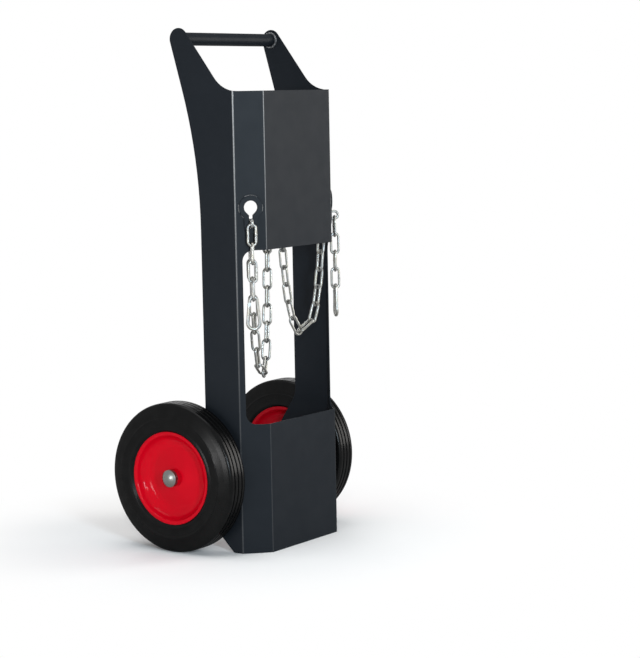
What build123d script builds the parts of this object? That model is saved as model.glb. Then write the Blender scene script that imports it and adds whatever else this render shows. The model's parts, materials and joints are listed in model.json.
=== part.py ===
from build123d import *
from math import asin, atan, atan2, cos, hypot, radians, sin, sqrt, tan
import os

# Two-wheeled hand truck: a folded sheet-steel body with a handle tube, two wheels and two load chains.
# Millimetres. +Z up, the front panel faces -Y, the origin lies on the floor under the middle of the object.

# Folded body
body_width = 362.0
panel_width = 262.0
strip_depth = 50.0
leg_depth = 100.0
sheet = 3.0
bend_radius = 6.0

# Window through the panel and the strips
window_bottom = 301.0
window_drop = 98.0
window_margin = 29.0
window_corner = 25.0

# Foot and heel of the side plates
foot_flat = 26.0
foot_corner = 8.0
heel_radius = 34.0
heel_top = 320.0
heel_fillet = 60.0

# Necks and handle
handle_height = 1184.0
handle_rise = 121.0
handle_setback = 52.0
handle_diameter = 30.0
handle_wall = 2.5
neck_end_radius = 25.0
neck_rear_lean = 16.0
neck_front_lean = 37.0
neck_rear_radius = 1150.0
neck_front_radius = 78.0
weld_leg = 4.5

# Keyholes and their plates
keyhole_height = 800.0
keyhole_diameter = 31.0
keyhole_neck_drop = 16.0
slot_drop = 44.0
slot_width = 8.5
keyhole_plate_rim = 11.5
keyhole_plate_thickness = 5.0

# Cross brace and chain anchor
brace_diameter = 25.0
brace_wall = 2.5
brace_height = 930.0
brace_setback = 27.0
anchor_wire = 7.0
anchor_width = 64.0
anchor_drop = 39.0
anchor_bend = 12.0

# Wheels
wheel_radius = 175.0
axle_setback = 53.0
tyre_width = 73.0
tread_width = 54.0
tyre_crease = 141.0
tyre_shoulder = 10.0
tyre_lip = 5.0
tread_grooves = 3
tread_pitch = 13.0
groove_width = 4.0
groove_depth = 3.5
rim_radius = 109.0
rim_sheet = 2.5
rim_inset = 5.0
wall_radius = 101.0
dish_radius = 88.0
dish_fillet = 30.0
cone_height = 12.0

# Axle, hubs and their small parts
axle_diameter = 25.0
axle_collar_diameter = 48.0
axle_collar_length = 14.0
hub_diameter = 40.0
hub_length = 67.0
bush_diameter = 34.0
bush_flange = 2.0
bush_length = 20.0
washer_diameter = 40.0
washer_thickness = 2.0
cap_diameter = 40.0
cap_height = 10.5
cap_wall = 1.5
cap_skirt = 4.0

# Chain, after the common 6 x 42 long-link size
wire = 6.0
link_inside = 42.0
link_width = 24.0
outside_links = 4
tail_links = {-1: 21, 1: 17}

# Snap hook
hook_wire = 8.0
hook_eye_radius = 9.0
hook_bow_radius = 14.0
hook_centres = 50.0
hinge_stub = 4.0
nose_stub = 7.0
tongue = 3.0
gate_pin_diameter = 2.5
gate_pin_drop = 4.6
gate_spring_length = 8.0
gate_spring_thickness = 1.0

# Clearances
running_fit = 0.05
axial_play = 0.3
chain_gap = 0.4
tail_gap = 1.6
chain_standoff = 1.5
tongue_gap = 0.35
gate_gap = 0.7

# Spare length that a later cut or join takes up
spare = 1.0

# Places worked out from the sizes
half_width = body_width / 2
half_panel = panel_width / 2
panel_top = handle_height - handle_rise
window_top = keyhole_height - window_drop
inner_half = half_width - sheet
strip_run = half_width - half_panel
strip_length = hypot(strip_run, strip_depth)
front_y = -(strip_depth + leg_depth + axle_setback + wheel_radius) / 2
bend_y = front_y + strip_depth
leg_rear_y = bend_y + leg_depth
axle_y = leg_rear_y + axle_setback
handle_y = leg_rear_y + handle_setback
brace_y = bend_y + brace_setback
axle_radius = axle_diameter / 2
pitch = link_inside + wire
crown = (link_width - wire) / 2
hang_offset = link_width / 2 + sheet / 2 + chain_standoff
sides = {-1: "left", 1: "right"}
up = Vector(0, 0, 1)
axle_plane = Plane(origin=(0, axle_y, wheel_radius), x_dir=(1, 0, 0), z_dir=(0, -1, 0))
axle_axis = Axis((0, axle_y, wheel_radius), (1, 0, 0))
handle_axis = Axis((0, handle_y, handle_height), (1, 0, 0))
brace_axis = Axis((0, brace_y, brace_height), (1, 0, 0))

os.makedirs("parts", exist_ok=True)


def save(piece, name):
    """Label a finished piece and write it as its own file."""
    piece.label = name
    export_step(piece, f"parts/{name}.step")


def strip_normal(side):
    """Outward normal of a slanted strip."""
    return Vector(side * strip_depth, -strip_run, 0) / strip_length


def strip_plane(side, standoff=0.0):
    """Upright plane along the middle of a slanted strip, standing off its outer face."""
    normal = strip_normal(side)
    middle = Vector(side * (half_width + half_panel) / 2, (bend_y + front_y) / 2, 0)
    return Plane(origin=middle + normal * standoff, x_dir=up.cross(normal), z_dir=normal)


def tangent_point(point, centre, radius, turn):
    """Where the line from a point touches a circle, on its left (turn 1) or its right (turn -1)."""
    run, rise = centre[0] - point[0], centre[1] - point[1]
    reach = hypot(run, rise)
    angle = atan2(rise, run) + turn * asin(radius / reach)
    length = sqrt(reach**2 - radius**2)
    return (point[0] + length * cos(angle), point[1] + length * sin(angle))


def keyhole_outline(side, grow):
    """Round hole that narrows to a slot, on the outer face of a strip, grown all round."""
    slot_length = slot_drop - keyhole_neck_drop
    with BuildSketch(strip_plane(side)) as outline:
        with Locations((0, keyhole_height)):
            Circle(keyhole_diameter / 2 + grow)
        with Locations((0, keyhole_height - keyhole_neck_drop)):
            Circle(slot_width / 2 + grow)
        make_hull()
        with Locations((0, keyhole_height - keyhole_neck_drop - slot_length / 2)):
            Rectangle(slot_width + 2 * grow, slot_length)
        with Locations((0, keyhole_height - slot_drop)):
            Circle(slot_width / 2 + grow)
    return outline.sketch


# Side outline of the body, drawn on the YZ plane
blank_rear = handle_y + neck_end_radius + spare
blank_top = handle_height + neck_end_radius + spare
foot_end = (bend_y + foot_flat, 0)
axle_centre = (axle_y, wheel_radius)
heel_corner = (leg_rear_y, heel_top)
heel_low = tangent_point(foot_end, axle_centre, heel_radius, -1)
heel_high = tangent_point(heel_corner, axle_centre, heel_radius, 1)
rear_lean = radians(neck_rear_lean)
front_lean = radians(neck_front_lean)
neck_rear = (handle_y + neck_end_radius * cos(rear_lean), handle_height - neck_end_radius * sin(rear_lean))
neck_front = (handle_y - neck_end_radius * cos(front_lean), handle_height + neck_end_radius * sin(front_lean))
neck_knee = (leg_rear_y, neck_rear[1] - (neck_rear[0] - leg_rear_y) / tan(rear_lean))
neck_root = (neck_front[0] - (neck_front[1] - panel_top) * tan(front_lean), panel_top)
neck_top_angle = (radians(180) - front_lean - rear_lean) / 2
neck_top = (
    handle_y + neck_end_radius * cos(neck_top_angle),
    handle_height + neck_end_radius * sin(neck_top_angle),
)
outline_front = front_y - sheet

with BuildPart() as folded_body:
    with BuildSketch():
        with BuildLine():
            FilletPolyline(
                (-half_width, blank_rear),
                (-half_width, bend_y),
                (-half_panel, front_y),
                (half_panel, front_y),
                (half_width, bend_y),
                (half_width, blank_rear),
                radius=bend_radius,
            )
            offset(amount=sheet, side=Side.LEFT)
        make_face()
    extrude(amount=blank_top)
    with BuildSketch(Plane.YZ):
        with BuildLine():
            FilletPolyline((outline_front, 0), foot_end, heel_low, radius=foot_corner)
            ThreePointArc(heel_low, (axle_y + heel_radius, wheel_radius), heel_high)
            rear_radii = [heel_fillet, neck_rear_radius]
            FilletPolyline(heel_high, heel_corner, neck_knee, neck_rear, radius=rear_radii)
            ThreePointArc(neck_rear, neck_top, neck_front)
            FilletPolyline(neck_front, neck_root, (outline_front, panel_top), radius=neck_front_radius)
            Line((outline_front, panel_top), (outline_front, 0))
        make_face()
    extrude(amount=body_width, both=True, mode=Mode.INTERSECT)
    window_height = window_top - window_bottom
    with BuildSketch(Plane.XZ.offset(-front_y)):
        with Locations((0, (window_top + window_bottom) / 2)):
            Rectangle(panel_width, window_height)
    extrude(amount=bend_radius + sheet, both=True, mode=Mode.SUBTRACT)
    strip_window = strip_length - window_margin + 2 * window_corner
    window_shift = (window_margin - strip_length + strip_window) / 2
    for side in sides:
        with BuildSketch(strip_plane(side)):
            with Locations((-side * window_shift, (window_top + window_bottom) / 2)):
                RectangleRounded(strip_window, window_height, window_corner)
        extrude(amount=bend_radius + sheet, both=True, mode=Mode.SUBTRACT)
        extrude(keyhole_outline(side, 0), amount=bend_radius + sheet, both=True, mode=Mode.SUBTRACT)
    with Locations(axle_plane):
        Cylinder(axle_radius + running_fit, 2 * body_width, rotation=(0, 90, 0), mode=Mode.SUBTRACT)
save(folded_body.part, "folded_body")


def cross_tube(axis, diameter, wall):
    """Tube between the inner faces of the two side plates."""
    plane = Plane(origin=axis.position - Vector(inner_half, 0, 0), x_dir=(0, 1, 0), z_dir=(1, 0, 0))
    with BuildPart() as tube:
        with BuildSketch(plane):
            Circle(diameter / 2)
            Circle(diameter / 2 - wall, mode=Mode.SUBTRACT)
        extrude(amount=2 * inner_half)
    return tube.part


def end_welds(axis, diameter):
    """Fillet beads where a cross tube meets the two side plates."""
    plane = Plane(origin=axis.position, x_dir=(1, 0, 0), z_dir=(0, -1, 0))
    with BuildPart() as beads:
        for side in sides:
            with BuildSketch(plane):
                with BuildLine():
                    Polyline(
                        (side * inner_half, diameter / 2),
                        (side * inner_half, diameter / 2 + weld_leg),
                        (side * (inner_half - weld_leg), diameter / 2),
                        close=True,
                    )
                make_face()
            revolve(axis=axis)
    return beads.part


save(cross_tube(handle_axis, handle_diameter, handle_wall), "handle_tube")
save(end_welds(handle_axis, handle_diameter), "handle_welds")
save(cross_tube(brace_axis, brace_diameter, brace_wall), "cross_brace")
save(end_welds(brace_axis, brace_diameter), "brace_welds")

# Staple under the cross brace that holds the inner ends of both chains
anchor_bar_z = brace_height - anchor_drop
anchor_leg_x = anchor_width / 2
with BuildPart() as chain_anchor:
    with BuildLine() as anchor_path:
        FilletPolyline(
            (-anchor_leg_x, brace_y, brace_height),
            (-anchor_leg_x, brace_y, anchor_bar_z),
            (anchor_leg_x, brace_y, anchor_bar_z),
            (anchor_leg_x, brace_y, brace_height),
            radius=anchor_bend,
        )
    with BuildSketch(Plane(origin=anchor_path.line @ 0, z_dir=anchor_path.line % 0)):
        Circle(anchor_wire / 2)
    sweep()
    with Locations((0, brace_y, brace_height)):
        Cylinder(brace_diameter / 2, body_width, rotation=(0, 90, 0), mode=Mode.SUBTRACT)
save(chain_anchor.part, "chain_anchor")

# Raised plates round the keyholes
for side, side_name in sides.items():
    with BuildPart() as keyhole_plate:
        extrude(keyhole_outline(side, keyhole_plate_rim), amount=keyhole_plate_thickness)
        extrude(keyhole_outline(side, 0), amount=keyhole_plate_thickness, mode=Mode.SUBTRACT)
    save(keyhole_plate.part, f"keyhole_plate_{side_name}")

# Axle and wheels, whose sections are drawn on the plane through the axle
hub_start = half_width + washer_thickness + axial_play
hub_end = hub_start + hub_length
outer_washer = hub_end + axial_play
cap_start = outer_washer + washer_thickness
axle_end = cap_start + cap_skirt
tyre_start = half_width + sheet
tyre_middle = tyre_start + tyre_width / 2
lip_offset = tyre_width / 2 - rim_inset


def turned(points, side, radius=0.0):
    """Body turned about the axle from a closed section of (distance along the axle, radius) points."""
    with BuildPart() as body:
        with BuildSketch(axle_plane):
            with BuildLine():
                FilletPolyline([(side * x, r) for x, r in points], radius=radius, close=True)
            make_face()
        revolve(axis=axle_axis)
    return body.part


def ring(start, length, inner, outer, side):
    """Plain ring round the axle."""
    return turned([(start, inner), (start, outer), (start + length, outer), (start + length, inner)], side)


def seat_radius(x):
    """Radius of the tyre's seat on the sloping wall of a rim, at a distance from the tyre's middle."""
    slope = (wall_radius - dish_radius) / (lip_offset - rim_sheet)
    return dish_radius + slope * (x - rim_sheet) + rim_sheet * hypot(1, slope)


def tyre(side):
    """Solid tyre with creased sidewalls and grooves round the tread."""
    half = tyre_width / 2
    bead_half = lip_offset - rim_sheet
    section = [
        (-half, rim_radius + tyre_lip),
        (-half, tyre_crease),
        (-tread_width / 2, wheel_radius),
        (tread_width / 2, wheel_radius),
        (half, tyre_crease),
        (half, rim_radius + tyre_lip),
        (lip_offset, rim_radius),
        (bead_half, rim_radius),
        (bead_half, seat_radius(bead_half)),
        (0, seat_radius(0)),
        (-bead_half, seat_radius(bead_half)),
        (-bead_half, rim_radius),
        (-lip_offset, rim_radius),
    ]
    corners = [0, 0, tyre_shoulder, tyre_shoulder, 0, 0, 0, 0, rim_sheet, 0, rim_sheet, 0, 0]
    with BuildPart() as body:
        add(turned([(tyre_middle + x, r) for x, r in section], side, corners))
        for index in range(tread_grooves):
            offset_x = (index - (tread_grooves - 1) / 2) * tread_pitch
            start = tyre_middle + offset_x - groove_width / 2
            groove = ring(start, groove_width, wheel_radius - groove_depth, wheel_radius + spare, side)
            add(groove, mode=Mode.SUBTRACT)
    return body.part


def rim(side, face):
    """Pressed half of a wheel centre; face 1 is the outer half and -1 the inner one."""
    hub_radius = hub_diameter / 2
    section = [
        (rim_sheet + cone_height, hub_radius),
        (rim_sheet + cone_height, hub_radius + rim_sheet),
        (rim_sheet, dish_radius),
        (lip_offset, wall_radius),
        (lip_offset, rim_radius),
    ]
    points = [(side * (tyre_middle + face * x), r) for x, r in section]
    corner_radii = [rim_sheet, dish_fillet, 2 * rim_sheet]
    with BuildPart() as pressed:
        with BuildSketch(axle_plane):
            with BuildLine():
                FilletPolyline(points, radius=corner_radii)
                offset(amount=rim_sheet, side=Side.LEFT if side * face > 0 else Side.RIGHT)
            make_face()
        revolve(axis=axle_axis)
    return pressed.part


def hub_bushes(side):
    """Flanged bush in each end of a hub."""
    bore = axle_radius + running_fit
    section = [
        (hub_start, bore),
        (hub_start, hub_diameter / 2),
        (hub_start + bush_flange, hub_diameter / 2),
        (hub_start + bush_flange, bush_diameter / 2),
        (hub_start + bush_length, bush_diameter / 2),
        (hub_start + bush_length, bore),
    ]
    with BuildPart() as bushes:
        add(turned(section, side))
        add(turned([(hub_start + hub_end - x, r) for x, r in section], side))
    return bushes.part


def axle_cap(side):
    """Domed push-on cap over an axle end."""
    edge = cap_diameter / 2
    dome_height = cap_height - cap_skirt
    dome_radius = (edge**2 + dome_height**2) / (2 * dome_height)
    dome_centre = cap_start + cap_height - dome_radius

    def dome_point(depth, share):
        radius = dome_radius - depth
        angle = (1 - share) * asin((edge - depth) / radius)
        return (side * (dome_centre + radius * cos(angle)), radius * sin(angle))

    with BuildPart() as cap:
        with BuildSketch(axle_plane):
            with BuildLine():
                Polyline((side * cap_start, axle_radius), (side * cap_start, edge), dome_point(0, 0))
                ThreePointArc(dome_point(0, 0), dome_point(0, 1 / 2), dome_point(0, 1))
                Line(dome_point(0, 1), dome_point(cap_wall, 1))
                ThreePointArc(dome_point(cap_wall, 1), dome_point(cap_wall, 1 / 2), dome_point(cap_wall, 0))
                Polyline(
                    dome_point(cap_wall, 0),
                    (side * (cap_start + cap_wall), edge - cap_wall),
                    (side * (cap_start + cap_wall), axle_radius),
                    (side * cap_start, axle_radius),
                )
            make_face()
        revolve(axis=axle_axis)
    return cap.part


save(ring(-axle_end, 2 * axle_end, 0, axle_radius, 1), "axle")
collar_start = inner_half - axle_collar_length
tube_start = hub_start + bush_flange
tube_length = hub_length - 2 * bush_flange
for side, side_name in sides.items():
    collar = ring(collar_start, axle_collar_length, axle_radius, axle_collar_diameter / 2, side)
    save(collar, f"axle_collar_{side_name}")
    for place, washer_start in (("inner", half_width), ("outer", outer_washer)):
        washer = ring(washer_start, washer_thickness, axle_radius, washer_diameter / 2, side)
        save(washer, f"{place}_washer_{side_name}")
    save(axle_cap(side), f"axle_cap_{side_name}")
    save(tyre(side), f"tyre_{side_name}")
    save(rim(side, 1), f"outer_rim_{side_name}")
    save(rim(side, -1), f"inner_rim_{side_name}")
    save(hub_bushes(side), f"hub_bushes_{side_name}")
    hub_tube = ring(tube_start, tube_length, bush_diameter / 2, hub_diameter / 2, side)
    save(hub_tube, f"hub_tube_{side_name}")

# One chain link, lying along X about the origin
with BuildPart() as chain_link:
    with BuildLine() as link_path:
        leg = pitch / 2 - crown
        Line((-leg, crown), (leg, crown))
        RadiusArc((leg, crown), (leg, -crown), crown)
        Line((leg, -crown), (-leg, -crown))
        RadiusArc((-leg, -crown), (-leg, crown), crown)
    with BuildSketch(Plane(origin=(0, crown, 0), z_dir=(1, 0, 0))):
        Circle(wire / 2)
    sweep(path=link_path.wires()[0])


def links(places):
    """Group of links, one on each plane, with its length along the plane's X."""
    with BuildPart() as group:
        with Locations(*places):
            add(chain_link.part)
    return group.part


def hanging_slopes(lengths, run, rise):
    """Slope angle of each link of a slack chain that hangs across the given run and rise."""
    halvings = 60

    def span(tightness, lowest):
        angles = [atan((index - lowest) / tightness) for index in range(len(lengths))]
        reach = sum(length * cos(angle) for length, angle in zip(lengths, angles))
        climb = sum(length * sin(angle) for length, angle in zip(lengths, angles))
        return reach, climb, angles

    def lowest_link(tightness):
        low, high = 0.0, float(len(lengths))
        for _ in range(halvings):
            middle = (low + high) / 2
            if span(tightness, middle)[1] > rise:
                low = middle
            else:
                high = middle
        return (low + high) / 2

    slack, taut = 0.0, float(len(lengths) ** 2)
    for _ in range(halvings):
        tightness = (slack + taut) / 2
        if span(tightness, lowest_link(tightness))[0] < run:
            slack = tightness
        else:
            taut = tightness
    return span(tightness, lowest_link(tightness))[2]


def tail_places(start, end, count):
    """Planes of the links of a tail that hangs from its keyhole to the anchor, every other link turned."""
    level = Vector(end.X - start.X, end.Y - start.Y, 0)
    run = level.length
    along = level.normalized()
    across = up.cross(along)
    spans = [pitch if index % 2 == 0 else link_inside - wire - 2 * chain_gap for index in range(count)]
    places = []
    point = start
    for index, slope in enumerate(hanging_slopes(spans, run, end.Z - start.Z)):
        direction = along * cos(slope) + up * sin(slope)
        normal = across if index % 2 else direction.cross(across)
        places.append(Plane(origin=point + direction * spans[index] / 2, x_dir=direction, z_dir=normal))
        point = point + direction * spans[index]
    return places


# Chains: a seat link through each slot, links that hang in front of the strip, and the tail inside
seat_wire_z = keyhole_height - slot_drop - slot_width / 2 + wire / 2 + chain_gap
first_top = seat_wire_z + wire + chain_gap
link_step = pitch - wire - chain_gap
last_bottom = first_top - pitch - (outside_links - 1) * link_step
anchor_hang_x = anchor_leg_x - anchor_bend
anchor_hang_z = anchor_bar_z + (anchor_wire + wire) / 2 + tail_gap
for side, side_name in sides.items():
    normal = strip_normal(side)
    seat_plane = strip_plane(side, -sheet / 2)
    out_plane = strip_plane(side, hang_offset - sheet / 2)
    in_plane = strip_plane(side, -hang_offset - sheet / 2)
    seat_centre = seat_plane.origin + up * (seat_wire_z + crown)
    seat_place = Plane(origin=seat_centre, x_dir=normal, z_dir=seat_plane.x_dir)
    save(links([seat_place]), f"seat_link_{side_name}")
    for index in range(outside_links):
        centre = out_plane.origin + up * (first_top - pitch / 2 - index * link_step)
        link_normal = out_plane.x_dir if index % 2 else normal
        link_place = Plane(origin=centre, x_dir=up, z_dir=link_normal)
        save(links([link_place]), f"chain_link_{index + 1}_{side_name}")
    tail_start = in_plane.origin + up * (seat_wire_z + wire + tail_gap)
    tail_end = Vector(side * anchor_hang_x, brace_y, anchor_hang_z)
    save(links(tail_places(tail_start, tail_end, tail_links[side])), f"chain_tail_{side_name}")

# Snap hooks, drawn on the plane of the hanging chain: the gate is on the side towards the wheels
eye_top = last_bottom + (wire + hook_wire) / 2 + chain_gap
eye_z = eye_top - hook_eye_radius
bow_z = eye_z - hook_centres
flare = asin((hook_bow_radius - hook_eye_radius) / hook_centres)
arm = sqrt(hook_centres**2 - (hook_bow_radius - hook_eye_radius) ** 2)
hook_radius = hook_wire / 2
tongue_radius = hook_radius - tongue_gap
gate_end = arm - nose_stub - gate_gap
pin_along = hinge_stub + gate_pin_drop
spring_start = pin_along + tongue_radius + tongue_gap


def arm_point(side, along, gate_side=1, out=0.0):
    """Point on a hook's arm, measured down from the eye, and out from the arm's middle line."""
    reach = hook_eye_radius + out
    u = reach * cos(flare) + along * sin(flare)
    z = eye_z + reach * sin(flare) - along * cos(flare)
    return (side * gate_side * u, z)


def arm_plane(side, along):
    """Plane square to the hook's gate arm, with its X across the hook's thickness."""
    face = strip_plane(side, hang_offset - sheet / 2)
    down = Vector(*arm_point(side, 1)) - Vector(*arm_point(side, 0))
    return Plane(
        origin=face.from_local_coords(arm_point(side, along)),
        x_dir=face.z_dir,
        z_dir=face.x_dir * down.X + up * down.Y,
    )


def arm_plate(side, low, high, thickness, width, round_at=None):
    """Flat plate along the gate arm, rounded about one point on it."""
    face = strip_plane(side, hang_offset - sheet / 2)
    with BuildPart() as plate:
        with BuildSketch(arm_plane(side, low)):
            Rectangle(thickness, width)
        extrude(amount=high - low)
        if round_at is not None:
            with BuildSketch(face):
                with Locations(arm_point(side, round_at)):
                    Circle(width / 2)
            extrude(amount=thickness / 2, both=True)
    return plate.part


def hook_body(side):
    """Bent wire with a tongue for the gate's hinge and another at its nose."""
    face = strip_plane(side, hang_offset - sheet / 2)
    with BuildPart() as body:
        with BuildLine(face) as hook_path:
            Line(arm_point(side, hinge_stub), arm_point(side, 0))
            ThreePointArc(arm_point(side, 0), (0, eye_top), arm_point(side, 0, -1))
            Line(arm_point(side, 0, -1), arm_point(side, arm, -1))
            ThreePointArc(arm_point(side, arm, -1), (0, bow_z - hook_bow_radius), arm_point(side, arm))
            Line(arm_point(side, arm), arm_point(side, arm - nose_stub))
        with BuildSketch(arm_plane(side, hinge_stub)):
            Circle(hook_radius)
        sweep(path=hook_path.wires()[0])
        add(arm_plate(side, hinge_stub - spare, pin_along, tongue, 2 * tongue_radius, pin_along))
        add(arm_plate(side, gate_end - hook_radius, arm - nose_stub + spare, tongue, 2 * tongue_radius))
        with BuildSketch(face):
            with Locations(arm_point(side, pin_along)):
                Circle(gate_pin_diameter / 2)
        extrude(amount=hook_wire, both=True, mode=Mode.SUBTRACT)
    return body.part


def hook_gate(side):
    """Round bar that closes the hook, forked over the hinge tongue and slotted over the nose tongue."""
    face = strip_plane(side, hang_offset - sheet / 2)
    slot = tongue + 2 * tongue_gap
    spring_end = spring_start + gate_spring_length
    with BuildPart() as bar:
        with BuildSketch(arm_plane(side, pin_along)):
            Circle(hook_radius)
        extrude(amount=gate_end - pin_along)
        with BuildSketch(face):
            with Locations(arm_point(side, pin_along)):
                Circle(hook_radius)
        extrude(amount=hook_radius, both=True)
        add(arm_plate(side, pin_along - hook_wire, spring_end, slot, 2 * hook_wire), mode=Mode.SUBTRACT)
        nose_slot = gate_end - hook_radius - gate_gap
        add(arm_plate(side, nose_slot, gate_end + spare, slot, 2 * hook_wire), mode=Mode.SUBTRACT)
        with BuildSketch(face):
            with Locations(arm_point(side, pin_along)):
                Circle(gate_pin_diameter / 2 + running_fit)
        extrude(amount=hook_wire, both=True, mode=Mode.SUBTRACT)
    return bar.part


for side, side_name in sides.items():
    save(hook_body(side), f"snap_hook_{side_name}")
    save(hook_gate(side), f"hook_gate_{side_name}")
    with BuildPart() as gate_pin:
        with BuildSketch(strip_plane(side, hang_offset - sheet / 2)):
            with Locations(arm_point(side, pin_along)):
                Circle(gate_pin_diameter / 2)
        extrude(amount=hook_radius, both=True)
    save(gate_pin.part, f"gate_pin_{side_name}")
    spring_end = spring_start + gate_spring_length
    gate_spring = arm_plate(side, spring_start, spring_end, tongue, gate_spring_thickness)
    save(gate_spring, f"gate_spring_{side_name}")
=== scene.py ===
import json
from collections import namedtuple
from math import cos, pi, radians, sin, sqrt, tan

import bmesh
import bpy
import numpy as np
from bpy.props import FloatProperty, FloatVectorProperty, IntProperty, PointerProperty
from mathutils import Matrix, Vector

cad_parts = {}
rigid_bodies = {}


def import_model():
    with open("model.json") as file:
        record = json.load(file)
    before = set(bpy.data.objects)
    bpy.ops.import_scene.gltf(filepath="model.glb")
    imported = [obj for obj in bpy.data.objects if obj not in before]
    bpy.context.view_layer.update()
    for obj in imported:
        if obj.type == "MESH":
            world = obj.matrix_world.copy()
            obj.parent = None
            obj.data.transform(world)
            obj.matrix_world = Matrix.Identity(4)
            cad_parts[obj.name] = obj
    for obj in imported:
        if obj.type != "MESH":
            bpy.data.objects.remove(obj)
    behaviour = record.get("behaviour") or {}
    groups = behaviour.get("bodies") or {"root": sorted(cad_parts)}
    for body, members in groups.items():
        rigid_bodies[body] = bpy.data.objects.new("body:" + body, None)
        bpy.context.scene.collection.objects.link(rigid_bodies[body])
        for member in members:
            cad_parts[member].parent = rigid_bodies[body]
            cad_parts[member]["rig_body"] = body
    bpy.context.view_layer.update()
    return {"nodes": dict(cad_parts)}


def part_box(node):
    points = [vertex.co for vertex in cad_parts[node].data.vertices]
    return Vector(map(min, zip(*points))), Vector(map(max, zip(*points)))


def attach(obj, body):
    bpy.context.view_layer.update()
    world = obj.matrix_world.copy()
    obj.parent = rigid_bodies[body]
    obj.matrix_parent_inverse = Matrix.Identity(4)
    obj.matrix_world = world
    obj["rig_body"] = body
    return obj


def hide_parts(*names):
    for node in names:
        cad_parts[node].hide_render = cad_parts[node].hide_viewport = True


bl_info = {
    "name": "Sheet-steel hand truck",
    "version": (1, 0, 0),
    "blender": (4, 5, 0),
    "location": "View3D > Sidebar > Hand truck",
    "description": "Dresses the hand truck's solids: paint, welds, wheels, chains, hooks and the studio",
    "category": "Object",
}

# Metres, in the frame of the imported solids: +Z is up and the front panel faces -Y
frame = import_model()

# Output, picture and the names of the solids
IMAGE_HEIGHT = 658
SENSOR = 36.0
SIDES = {"left": -1, "right": 1}
TUBES = {"handle": "handle_tube", "brace": "cross_brace"}
COATED_NODES = ("handle_tube", "cross_brace", "chain_anchor")
CHAIN_NODES = ("seat_link", "chain_link", "chain_tail")
HOOK_NODES = ("snap_hook", "hook_gate", "gate_pin", "gate_spring")

# Meshes: joining of loose triangles, rounding of sheet edges and shading of turned pieces
MERGE_DISTANCE = 0.00001
FLAT_ANGLE = radians(0.2)
EDGE_ANGLE = radians(40)
EDGE_SEGMENTS = 2
FACE_WEIGHT = 100
TURNED_ANGLE = radians(38)

# Noise inside the shared shader groups
GRAIN_PATCH_RATIO = 30.0
GRAIN_PATCH_DETAIL = 4.0
GRAIN_PATCH_SPREAD = (0.35, 0.65)
TINT_DETAIL = 5.0
TINT_SPREAD = (0.3, 0.7)

# Sockets of a Mix node that is set to colours
MIX_FACTOR = 0
MIX_FIRST = 6
MIX_SECOND = 7
MIX_RESULT = 2

# Finishes: a tint is two shades of a colour in patches, and a grain is a fine bump
Tint = namedtuple("Tint", "dark light scale amount")
Grain = namedtuple("Grain", "scale detail strength height")
LACQUER_IOR = 1.5
COAT_TINT = Tint(dark=0.96, light=1.06, scale=7.0, amount=0.6)
COAT_GRAIN = Grain(scale=900.0, detail=2.0, strength=0.10, height=0.0006)
COAT_ROUGHNESS = 0.42
COAT_GLOSS = 0.12
COAT_GLOSS_SPREAD = (0.92, 1.08)
PAINT_TINT = Tint(dark=0.94, light=1.06, scale=14.0, amount=0.8)
PAINT_GRAIN = Grain(scale=260.0, detail=2.0, strength=0.05, height=0.001)
PAINT_ROUGHNESS = (0.20, 0.28)
PAINT_GLOSS = 0.14
PAINT_GLOSS_ROUGHNESS = 0.09
RUBBER_TINT = Tint(dark=0.85, light=1.5, scale=18.0, amount=0.6)
RUBBER_GRAIN = Grain(scale=1400.0, detail=3.0, strength=0.09, height=0.0006)
RUBBER_ROUGHNESS = 0.5
RUBBER_GLOSS = (0.18, 0.22)
RUBBER_GLOSS_ROUGHNESS = 0.24
PLATING_WARM = (1.0, 0.97, 0.88)
PLATING_COLD = (0.90, 0.94, 1.0)
PLATING_SCALE = 60.0
PLATING_AMOUNT = 1.0
PLATING_GRAIN = Grain(scale=1200.0, detail=3.0, strength=0.12, height=0.0004)
ZINC_ROUGHNESS = (0.26, 0.42)
CAP_ROUGHNESS = (0.22, 0.34)
PLASTIC_TINT = Tint(dark=0.9, light=1.2, scale=30.0, amount=0.6)
PLASTIC_GRAIN = Grain(scale=1500.0, detail=2.0, strength=0.15, height=0.0004)
PLASTIC_ROUGHNESS = (0.5, 0.62)

# Painted highlights: the bends' distances from the body's box corners, their lines, and glints on weld
# beads
BEND_DEPTH = 0.050
BEND_RUN = 0.050
BEND_NARROWING = 0.0006
BEND_HIGHLIGHT_LEAST = 0.08
BEND_HIGHLIGHT_OUTER = 0.0026
BEND_HIGHLIGHT_INNER = 0.0008
BEND_SPECKLE_SCALE = 260.0
BEND_SPECKLE_LEAST = 0.3
# Painted glints on the weld beads: the most pale colour in a patch, and the scale of the patches
BEAD_GLINT = 0.25
BEAD_GLINT_SCALE = 7500.0
BEAD_ROUGHNESS = 0.28
BEAD_GLOSS = 0.9
HIGHLIGHT_DETAIL = 3.0

# Weld beads: places and sizes as shares of the bead's radius, ripples, and stitches as spans in degrees
BEAD_OUT = 0.55
BEAD_IN = 0.5
STITCH_SHARE = 0.7
RING_STEPS = 48
STITCH_STEPS = 12
RIPPLE_SEGMENTS = 12
RIPPLE_RINGS = 8
RIPPLE_LEAST = (0.86, 0.86, 0.80)
RIPPLE_MOST = (1.12, 1.12, 0.98)
RIPPLE_SEED = 7
KEYHOLE_PLATE_THICKNESS = 0.005
STITCHES = ((60, 116), (168, 200), (-18, 10), (222, 240))

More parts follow.
